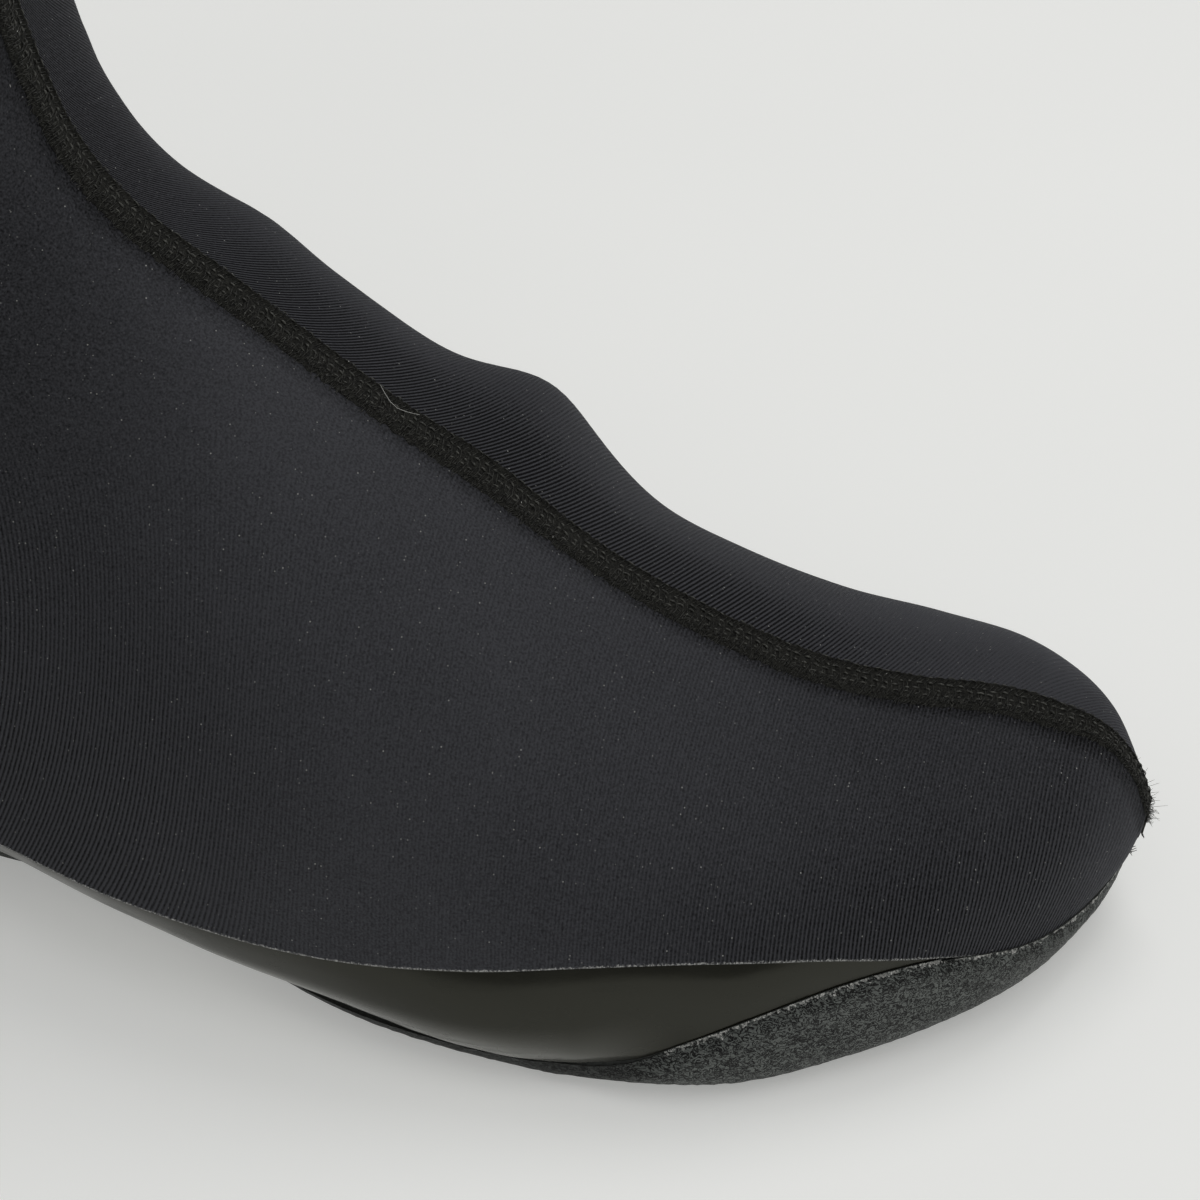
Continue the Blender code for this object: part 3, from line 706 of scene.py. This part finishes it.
def pebbled_finish():
    """Dark grey-green rubber with a pressed, crackled grain in painted light and shade, and a pale torn edge.
    """
    material, tree, surface = start_finish("pebbled_rubber", roughness=0.55, specular=0.40)
    place = place_of(tree)
    flattened = place_of(tree, stretch=(0.65, 1.0, 1.15))
    worms = mottle(flattened, size=0.00085, roughness=0.5, swirl=1.6)
    crevice = reckon("ABSOLUTE", reckon("SUBTRACT", worms, 0.5))
    grain = ramp(crevice, 0.005, 0.085)
    crumbs = mottle(place, size=0.00040, detail=3.0, roughness=0.6)
    height = reckon("MULTIPLY_ADD", crumbs, 0.7, reckon("MULTIPLY", grain, 0.8))
    # Painted shade: the low strip under the panel is painted darker.
    strip_painted_darker = reckon("MULTIPLY_ADD", mark_of(tree, "low_strip"), -0.65, 1.0)
    # Tops of the grain painted light and pits painted dark, a painted highlight and shade.
    painted_light_on_tops = reckon("MULTIPLY", ramp(height, 0.55, 1.25), strip_painted_darker)
    rubber = tint(painted_light_on_tops, PEBBLE_PIT, PEBBLE)
    reach = reckon("MULTIPLY_ADD", mottle(place, size=0.0008), 2.8, -1.08)
    raw = ramp(reckon("SUBTRACT", reach, mark_of(tree, "from_edge")), 0.0, 0.15)
    flecks = tint(ramp(crumbs, 0.35, 0.6), PEBBLE, TORN_RUBBER)
    plug(surface.inputs["Base Color"], tint(raw, rubber, flecks))
    relief(surface, height, depth=0.00060)
    return material


def outside_sole(form, facing):
    """Above 0 outside the outsole's cut outline, below 0 inside it."""
    rubber = form + facing * BUMPER_EDGE
    backs = -rubber[..., 0]
    outline = smooth_table(SOLE_OUTLINE, np.linspace(0, len(SOLE_OUTLINE) - 1, 240))
    outer, inner = (np.interp(backs, outline[:, 0], outline[:, k], right=-50.0) for k in (1, 2))
    beside = np.maximum(-rubber[..., 1] - outer, rubber[..., 1] - inner)
    return np.maximum(form[..., 2] - line_height(SOLE_EDGE, backs), beside)


def make_outsole():
    outer, inner, from_edge, low_strip = [], [], [], []
    for row in lower_rows(outside_sole, 0.99, 0.0, SOLE_ROWS, SOLE_SIDE_COLUMNS, SOLE_EDGE_STEPS):
        normals = unit(row.normals)
        over_jersey = row.z > row.jersey_z - 0.5
        inside = np.where(over_jersey, GLUE_LINE, GLUE_LINE - 0.9 * row.sink)
        thinning = soft_step(row.z, SOLE_THICKNESS, SOLE_THICKNESS + BUMPER_RISE)
        thick = SOLE_THICKNESS + (BUMPER_EDGE - SOLE_THICKNESS) * thinning
        line = line_height(SOLE_EDGE, row.back + np.array([[-0.5], [0.0], [0.5]]))
        uphill = np.stack([line[2] - line[0], 0 * row.z, 1 + 0 * row.z], axis=-1)
        uphill -= normals * (uphill * normals).sum(axis=-1, keepdims=True)
        below = (line[1] - row.z) / np.maximum(np.linalg.norm(uphill, axis=-1), 0.15)
        away = np.clip(np.minimum(row.from_edge, below), 0, None)
        rough = np.array([noise.noise(Vector(p) / FACE_ROUGH_SIZE) for p in row.points])
        plain = FACE_ROOM + thick - EDGE_ROUND * (1 - soft_step(away, *EDGE_ROUND_REACH))
        pared = np.where(over_jersey, PARED_ON_JERSEY, PARED_ON_PANEL - row.sink)
        high_edge = np.maximum(soft_step(row.edge_z - row.sole_top, *HIGH_EDGE_RISE),
                               soft_step(row.back, *HIGH_EDGE_TOE))
        thinned = (LOW_PARING + (1 - LOW_PARING) * high_edge) * (1 - soft_step(away, *PARED_REACH))
        lift = plain + (pared - plain) * thinned + FACE_ROUGH * rough
        skin = row.points + row.move * soft_step(row.back, *STRIP_TUCKED)[:, None] + normals * lift[:, None]
        skin[:, 2] = np.maximum(skin[:, 2], 0.0)
        outer.append(skin)
        inner.append(row.points + row.move + normals * inside[:, None])
        from_edge.append(away + 3 * (1 - high_edge))
        # Where the low strip is painted darker, a painted shade.
        low_strip.append((1 - high_edge) * (1 - soft_step(away, *STRIP_REACH)))
    face, glued, sides = shell_faces(SOLE_ROWS, len(away))
    cut_rubber = ("cut_rubber", 0.85, 0.30, 0.0006, CUT_RUBBER_DARK, CUT_RUBBER, 0.0004)
    sets = [(face + glued, pebbled_finish()), (sides, grainy_finish(*cut_rubber))]
    marks = {
        "from_edge": np.concatenate([from_edge, np.full_like(from_edge, FAR_FROM_EDGE)]),
        "low_strip": np.concatenate([low_strip, np.ones_like(low_strip)]),
    }
    skin = np.concatenate([outer, inner]).reshape(-1, 3)
    outsole = make_piece("pebbled_outsole", skin, sets, marks)
    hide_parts("outsole")


make_outsole()

# The front seam's bed. The two panels' edges lie flat against each other and are covered with thread, so
# the seam shows as a low dark strip from the toe to the collar, with a thin raised lip on the far side.
SEAM_ROWS, BED_ROWS = 420, 640
SEAM_HALF = 3.2
SEAM_TOE_SHARE, SEAM_WIDENS = 0.55, (0, 22)  # width left at the toe, and where it widens
SEAM_NOSE, NOSE_SHARE = (-0.3, 11.0, 20.9), 0.35  # last point on the nose, as minus back, y and z; width left
SEAM_SIDE_POINTS = 70
BED_PROFILE = (
    (-1.30, 0.02), (-1.15, 0.18), (-0.95, 0.30), (-0.65, 0.42), (-0.35, 0.46), (-0.10, 0.46), (0.15, 0.46),
    (0.40, 0.44), (0.62, 0.36), (0.80, 0.34), (0.88, 0.55), (0.94, 0.66), (1.00, 0.52), (1.06, 0.02),
)  # offset across in half widths, height in mm
BED_FOOT = -0.25
RAGGED, RAGGED_SIZE = 0.22, 1.6
LUMPS, LUMP_SIZE = 0.10, 0.9
SEAM_BED = (0.0260, 0.0260, 0.0220)
SEAM_BED_DARK = (0.0020, 0.0020, 0.0017)


def seam_strip():
    """The seam's line on the upper: distance from the toe, and points and normals across each row."""
    form, facing = shoe_form(np.linspace(0, len(SECTIONS) - 1, SEAM_ROWS))
    middle, side = len(GIRTHS) // 2, SEAM_SIDE_POINTS
    near = slice(middle - side, middle + side + 1)
    offsets = np.linspace(-1.9, 1.9, 77)
    nose_row = np.tile(SEAM_NOSE, (len(offsets), 1))
    nose_row[:, 1] += offsets * SEAM_HALF * NOSE_SHARE
    points, normals = [nose_row], [np.tile([1.0, 0.0, -0.2], (len(offsets), 1))]
    for row, normal in zip(form[:, near], facing[:, near]):
        along = walked(row)
        along -= along[side]
        widened = soft_step(-row[side, 0], *SEAM_WIDENS)
        half = SEAM_HALF * (SEAM_TOE_SHARE + (1 - SEAM_TOE_SHARE) * widened)
        places = np.clip(offsets * half, along[0], along[-1])
        for grid, values in ((points, row), (normals, normal)):
            grid.append(np.stack([np.interp(places, along, values[:, k]) for k in range(3)], axis=-1))
    points = np.array(points)
    return walked(points[:, len(offsets) // 2]), offsets, points, unit(np.array(normals))


SEAM_DISTANCE, SEAM_OFFSETS, SEAM_POINTS, SEAM_NORMALS = seam_strip()


def on_seam(distance, offset, lift):
    """Points on the seam: distance from its toe end in mm, offset in half widths, plus on the inner side,
    and lift above the upper in mm."""
    distance, offset, lift = np.broadcast_arrays(*map(np.asarray, (distance, offset, lift)))
    row = np.interp(distance, SEAM_DISTANCE, np.arange(len(SEAM_DISTANCE)))
    column = np.interp(offset, SEAM_OFFSETS, np.arange(len(SEAM_OFFSETS)))
    r = np.clip(row.astype(int), 0, len(SEAM_DISTANCE) - 2)
    c = np.clip(column.astype(int), 0, len(SEAM_OFFSETS) - 2)
    u, v = (row - r)[..., None], (column - c)[..., None]

    def blend(grid):
        return ((1 - u) * ((1 - v) * grid[r, c] + v * grid[r, c + 1])
                + u * ((1 - v) * grid[r + 1, c] + v * grid[r + 1, c + 1]))

    return blend(SEAM_POINTS) + blend(SEAM_NORMALS) * lift[..., None]


def seam_bed_finish():
    """Dull olive-black covering thread pressed into a fine mesh."""
    material, tree, surface = start_finish("seam_bed", roughness=0.80, specular=0.15)
    lumps = mottle(place_of(tree), size=0.0005, detail=3.0, roughness=0.7)
    covering = tint(ramp(lumps, 0.3, 0.7), SEAM_BED_DARK, SEAM_BED)
    plug(surface.inputs["Base Color"], covering)
    relief(surface, lumps, depth=0.0005)
    return material


def make_seam_bed():
    across, heights = np.array(BED_PROFILE).T
    along = np.linspace(0, SEAM_DISTANCE[-1], BED_ROWS)
    distance, offset = np.meshgrid(along, across, indexing="ij")
    ragged = np.array([noise.noise(Vector((d / RAGGED_SIZE, 3.0, 1.0))) for d in along])
    offset = offset + RAGGED * ragged[:, None] * (across < -0.9)
    places = zip(distance.ravel(), offset.ravel())
    lumps = np.array([noise.noise(Vector((d / LUMP_SIZE, o * 3.0, 7.0))) for d, o in places])
    lumps = lumps.reshape(distance.shape) * LUMPS * (heights > 0.1)
    top = on_seam(distance, offset, heights + lumps)
    foot = on_seam(distance, offset, BED_FOOT)
    faces = sum(shell_faces(BED_ROWS, len(across)), [])
    points = np.concatenate([foot, top]).reshape(-1, 3)
    bed = make_piece("front_seam_bed", points, [(faces, seam_bed_finish())], {})
    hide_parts("front_seam")


make_seam_bed()

# The seam's thread. Black spun thread sewn through both panels by a flat-lock machine: rows of short
# stitches along the bed, fine cover threads crossing between them, and a ragged comb of loops that
# holds the near edge down.
STITCH_PITCH = 1.8
THREAD_SIDES, THREAD_POINTS, LOOP_POINTS = 5, 6, 5
STITCH_ROWS = (
    (0.95, 1.40, 0.12, 0.62, 0.74, 0.04),
    (0.36, 1.25, 0.21, 0.44, 0.58, 0.06),
    (-0.10, 1.25, 0.21, 0.44, 0.60, 0.06),
    (-0.52, 1.05, 0.16, 0.38, 0.50, -0.06),
)  # offset across, stitch length, radius, lift of the ends, lift of the middle, slant in half widths
COVER_ROWS = ((0.90, 0.40, 0.7), (0.34, -0.50, -0.6), (-0.16, -0.95, 0.5))  # from and to across, step along
COVER_RADIUS = 0.075
COMB_ROWS = (
    (-0.62, -1.02, 5, 0.075), (-0.95, -1.50, 6, 0.060), (0.84, 1.12, 2, 0.060),
)  # from and to across, loops for each stitch, radius: two on the near edge, a sparse one on the far lip
# The threads' light tones are painted glints over their dark colour.
STITCH_PAINTED_GLINT, STITCH_DARK = (0.084, 0.084, 0.074), (0.012, 0.012, 0.010)
COVER_PAINTED_GLINT, COVER_DARK = (0.042, 0.042, 0.036), (0.005, 0.005, 0.004)
LINT_HAIR = (0.50, 0.50, 0.47)


def thread_tubes(lines, radii):
    """Closed tubes round a batch of lines with the same number of points; radii is one for each point."""
    count, length = lines.shape[:2]
    tangents = np.gradient(lines, axis=1)
    tangents /= np.linalg.norm(tangents, axis=-1, keepdims=True) + 1e-9
    helper = np.where(np.abs(tangents[..., 2:]) > 0.9, [1.0, 0.0, 0.0], [0.0, 0.0, 1.0])
    side = np.cross(tangents, helper)
    side /= np.linalg.norm(side, axis=-1, keepdims=True) + 1e-9
    other = np.cross(tangents, side)
    turns = np.arange(THREAD_SIDES) * 2 * math.pi / THREAD_SIDES
    ring = (side[:, :, None] * np.cos(turns)[:, None] + other[:, :, None] * np.sin(turns)[:, None])
    points = lines[:, :, None] + ring * np.broadcast_to(radii, (count, length))[..., None, None]
    numbers = np.arange(count * length * THREAD_SIDES).reshape(count, length, THREAD_SIDES)
    ahead = np.roll(numbers, -1, axis=2)
    quads = np.stack([numbers[:, :-1], ahead[:, :-1], ahead[:, 1:], numbers[:, 1:]], axis=-1).reshape(-1, 4)
    ends = np.concatenate([numbers[:, 0, ::-1], numbers[:, -1]])
    return points.reshape(-1, 3), quads[:, ::-1].tolist() + ends[:, ::-1].tolist()


def thread_finish(name, light, dark):
    """Spun thread, a little shiny, mottled with painted glints along its plies, with a few specks of lint."""
    material, tree, surface = start_finish(name, roughness=0.50, specular=0.30)
    place = place_of(tree)
    twist = mottle(place, size=0.0006, detail=3.0)
    # Painted glints, mottled over the thread's dark colour.
    plies_and_glints = tint(ramp(twist, 0.35, 0.65), dark, light)
    lint = specks(place, spacing=0.0015, radius=0.00022, fewer=5.0)
    plug(surface.inputs["Base Color"], tint(lint, plies_and_glints, LINT_HAIR))
    relief(surface, mottle(place, size=0.0002), depth=0.0001)
    return material


def gather_tubes(groups):
    """Points of several groups of tubes as one mesh, and each group's faces with its finish."""
    points, sets, used = [], [], 0
    for batches, finish in groups:
        faces = []
        for lines, radii in batches:
            made, made_faces = thread_tubes(lines, radii)
            points.append(made)
            faces += [[n + used for n in face] for face in made_faces]
            used += len(made)
        sets.append((faces, finish))
    return np.concatenate(points), sets


def make_seam_thread():
    chance = np.random.default_rng(11)
    starts = np.arange(2.5, SEAM_DISTANCE[-1] - 2.0, STITCH_PITCH)
    along = np.linspace(0, 1, THREAD_POINTS)
    arch = np.sin(np.linspace(0.15, math.pi - 0.15, THREAD_POINTS))
    stitches, covers = [], []
    for offset, length, radius, low, high, slant in STITCH_ROWS:
        begin = starts + chance.normal(0, 0.15, starts.shape) + chance.uniform(0, 0.5)
        size = length * chance.uniform(0.5, 1.1, starts.shape)
        place = offset + chance.normal(0, 0.04, starts.shape)
        lean = slant * chance.uniform(-0.8, 2.2, starts.shape)
        lift = low + (high - low) * arch + chance.normal(0, 0.05, starts.shape)[:, None]
        forward = begin[:, None] + size[:, None] * along
        lines = on_seam(forward, place[:, None] + lean[:, None] * (along - 0.5), lift)
        stitches.append((lines, radius * (0.4 + 0.6 * arch)))
    for first, last, step in COVER_ROWS:
        begin = np.repeat(starts, 2) + np.tile([0.0, STITCH_PITCH / 2], len(starts))
        begin = begin + chance.normal(0, 0.2, begin.shape)
        lift = 0.38 + 0.10 * arch + chance.normal(0, 0.05, begin.shape)[:, None]
        lines = on_seam(begin[:, None] + step * along, first + (last - first) * along, lift)
        covers.append((lines, COVER_RADIUS))
    loop = np.linspace(0, 1, LOOP_POINTS)
    for first, last, share, radius in COMB_ROWS:
        begin = np.repeat(starts, share) + np.tile(np.arange(share) * STITCH_PITCH / share, len(starts))
        begin = begin + chance.normal(0, 0.2, begin.shape)
        root = first + (last - first) * chance.uniform(-0.1, 0.35, begin.shape)
        tip = root + (last - first) * chance.uniform(0.15, 1.05, begin.shape)
        slide = chance.normal(0.30, 0.50, begin.shape)
        out = root[:, None] + (tip - root)[:, None] * np.sin(loop * math.pi * 0.62)
        forward = begin[:, None] + slide[:, None] * loop + 0.12 * np.sin(loop * math.pi)
        height = 0.46 - 0.36 * soft_step(np.abs(out), 0.6, 1.45) + 0.07 * np.sin(loop * math.pi)
        lines = on_seam(forward, out, height + chance.normal(0, 0.03, begin.shape)[:, None])
        covers.append((lines, radius * np.linspace(1, 0.6, LOOP_POINTS)))
    points, sets = gather_tubes([
        (stitches, thread_finish("stitch_thread", STITCH_PAINTED_GLINT, STITCH_DARK)),
        (covers, thread_finish("cover_thread", COVER_PAINTED_GLINT, COVER_DARK)),
    ])
    make_piece("front_seam_thread", points, sets, {}, weld=False)


make_seam_thread()

# The seam's end at the toe. The last loops bunch into a small fuzzy beak, cut tails of thread hang from it
# and from the end of the bumper's edge, and a stray hair of lint has caught in the seam above the instep.
BEAK_FIBRES, RIDGE_FIBRES, BUMPER_FIBRES, TAILS = 150, 70, 14, 5
BUMPER_END = (-2.6, 10.0, 14.0)
TAIL_WAY = (
    (0.3, 11.0, 23.6), (0.35, 10.8, 22.2), (0.1, 10.5, 20.8), (-0.1, 10.2, 19.6), (-0.2, 10.1, 18.6),
    (0.1, 9.9, 17.9),
)
HAIR_WAY = (
    (160.2, 0.95, 0.75), (158.9, 0.55, 0.85), (157.4, 0.18, 0.95), (155.8, 0.05, 1.00), (154.0, 0.30, 0.95),
    (152.0, 0.72, 0.80),
)  # distance along the seam, offset across, lift
HAIR_RADIUS = 0.05


def make_toe_fuzz():
    chance = np.random.default_rng(23)
    t = np.linspace(0, 1, THREAD_POINTS)

    def tuft(roots, outward_way, spread, lengths, thick, thin):
        """Short bent fibres from a set of roots."""
        ways = unit(np.asarray(outward_way) + chance.normal(0, spread, roots.shape))
        bends = chance.normal(0, 0.45, roots.shape)
        lines = roots[:, None] + lengths[:, None, None] * (
            ways[:, None] * t[:, None] + bends[:, None] * (t * t)[:, None])
        return lines, np.linspace(thick, thin, len(t))

    beak = on_seam(chance.exponential(2.2, BEAK_FIBRES), chance.uniform(-1.0, 1.0, BEAK_FIBRES), 0.45)
    ridge = on_seam(chance.uniform(5, 32, RIDGE_FIBRES), chance.uniform(0.3, 1.1, RIDGE_FIBRES), 0.5)
    bumper_end = np.array(BUMPER_END) + chance.normal(0, 0.25, (BUMPER_FIBRES, 3))
    apart = chance.normal(0, 0.18, (TAILS, 1, 3))
    tails = np.array(TAIL_WAY) + apart + chance.normal(0, 0.05, (TAILS, len(TAIL_WAY), 3))
    fibres = [
        tuft(beak, (0.9, -0.2, 0.3), 0.55, chance.uniform(0.5, 1.6, BEAK_FIBRES), 0.045, 0.02),
        tuft(ridge, (0.3, 0.3, 0.9), 0.5, chance.uniform(0.3, 0.8, RIDGE_FIBRES), 0.035, 0.02),
        tuft(bumper_end, (0.8, -0.3, 0.1), 0.6, chance.uniform(0.6, 1.4, BUMPER_FIBRES), 0.10, 0.05),
        (tails, np.linspace(0.16, 0.07, len(TAIL_WAY))),
    ]
    hair = on_seam(*np.array(HAIR_WAY).T)[None]
    points, sets = gather_tubes([
        (fibres, thread_finish("thread_fuzz", STITCH_PAINTED_GLINT, STITCH_DARK)),
        ([(hair, HAIR_RADIUS)], thread_finish("lint_hair", LINT_HAIR, LINT)),
    ])
    make_piece("toe_thread_fuzz", points, sets, {}, weld=False)


make_toe_fuzz()

# The floor: one wide sheet of pale, matt tracing paper that glows a little, a painted light, so that the
# shoe's shadow stays light where it stands.
FLOOR_HALF = 4.0
FLOOR_PALE = (0.80, 0.804, 0.786)
FLOOR_GLOW = 0.36


def make_floor():
    mesh = bpy.data.meshes.new("floor")
    h = FLOOR_HALF
    mesh.from_pydata([(-h, -h, 0), (h, -h, 0), (h, h, 0), (-h, h, 0)], [], [(0, 1, 2, 3)])
    floor = bpy.data.objects.new("floor", mesh)
    bpy.context.scene.collection.objects.link(floor)
    material, tree, surface = start_finish("floor_paper", roughness=0.9, specular=0.2)
    cloud = mottle(place_of(tree), size=0.25)
    pale = tint(ramp(cloud, 0.3, 0.7), tuple(0.97 * v for v in FLOOR_PALE), FLOOR_PALE)
    plug(surface.inputs["Base Color"], pale)
    # The floor's glow is painted light that lifts the shadow round the shoe.
    surface.inputs["Emission Color"].default_value = (*FLOOR_PALE, 1.0)
    surface.inputs["Emission Strength"].default_value = FLOOR_GLOW
    mesh.materials.append(material)


make_floor()

# The light: a bright, even room, a soft lamp high behind the shoe that throws the ankle's shadow forward,
# a wider one on the toe's side, and a weak one from the front that keeps the floor pale close to the shoe.
ROOM_COLOUR, ROOM_STRENGTH = (1.0, 1.0, 0.995, 1.0), 0.23
LAMPS = (
    ("far_lamp", (0.20, 0.60, 1.20), 0.8, 4.0),
    ("toe_side_lamp", (0.60, -0.15, 1.05), 1.1, 2.8),
    ("front_lamp", (0.30, -1.1, 1.2), 1.5, 2.0),
)  # name, place in metres, width in metres, power in watts


def make_lamp(name, place, size, power):
    data = bpy.data.lights.new(name, "AREA")
    data.shape = "DISK"
    data.size = size
    data.energy = power
    lamp = bpy.data.objects.new(name, data)
    lamp.location = place
    lamp.rotation_euler = (-Vector(place)).to_track_quat("-Z", "Y").to_euler()
    bpy.context.scene.collection.objects.link(lamp)


def make_light():
    world = bpy.data.worlds.new("room")
    world.use_nodes = True
    back = world.node_tree.nodes["Background"]
    back.inputs["Color"].default_value = ROOM_COLOUR
    back.inputs["Strength"].default_value = ROOM_STRENGTH
    bpy.context.scene.world = world
    for lamp in LAMPS:
        make_lamp(*lamp)
    bpy.context.scene.view_settings.view_transform = "Standard"


make_light()

# The camera: close to the toe on the outer side, looking down at 36 degrees, so that the heel and the
# collar run out of the picture.
CAMERA_PLACE = (0.18504, -0.53762, 0.46404)
CAMERA_AROUND, CAMERA_ABOVE = math.radians(14.0), math.radians(36.0)
CAMERA_LENS, CAMERA_SENSOR = 121.8, 36.0


def make_camera():
    data = bpy.data.cameras.new("camera")
    data.lens, data.sensor_width = CAMERA_LENS, CAMERA_SENSOR
    data.clip_start = 0.01
    camera = bpy.data.objects.new("camera", data)
    looking = -Vector((
        math.sin(CAMERA_AROUND) * math.cos(CAMERA_ABOVE),
        -math.cos(CAMERA_AROUND) * math.cos(CAMERA_ABOVE),
        math.sin(CAMERA_ABOVE),
    ))
    turned = looking.to_track_quat("-Z", "Y").to_matrix().to_4x4()
    camera.matrix_world = Matrix.Translation(CAMERA_PLACE) @ turned
    bpy.context.scene.collection.objects.link(camera)
    bpy.context.scene.camera = camera


make_camera()
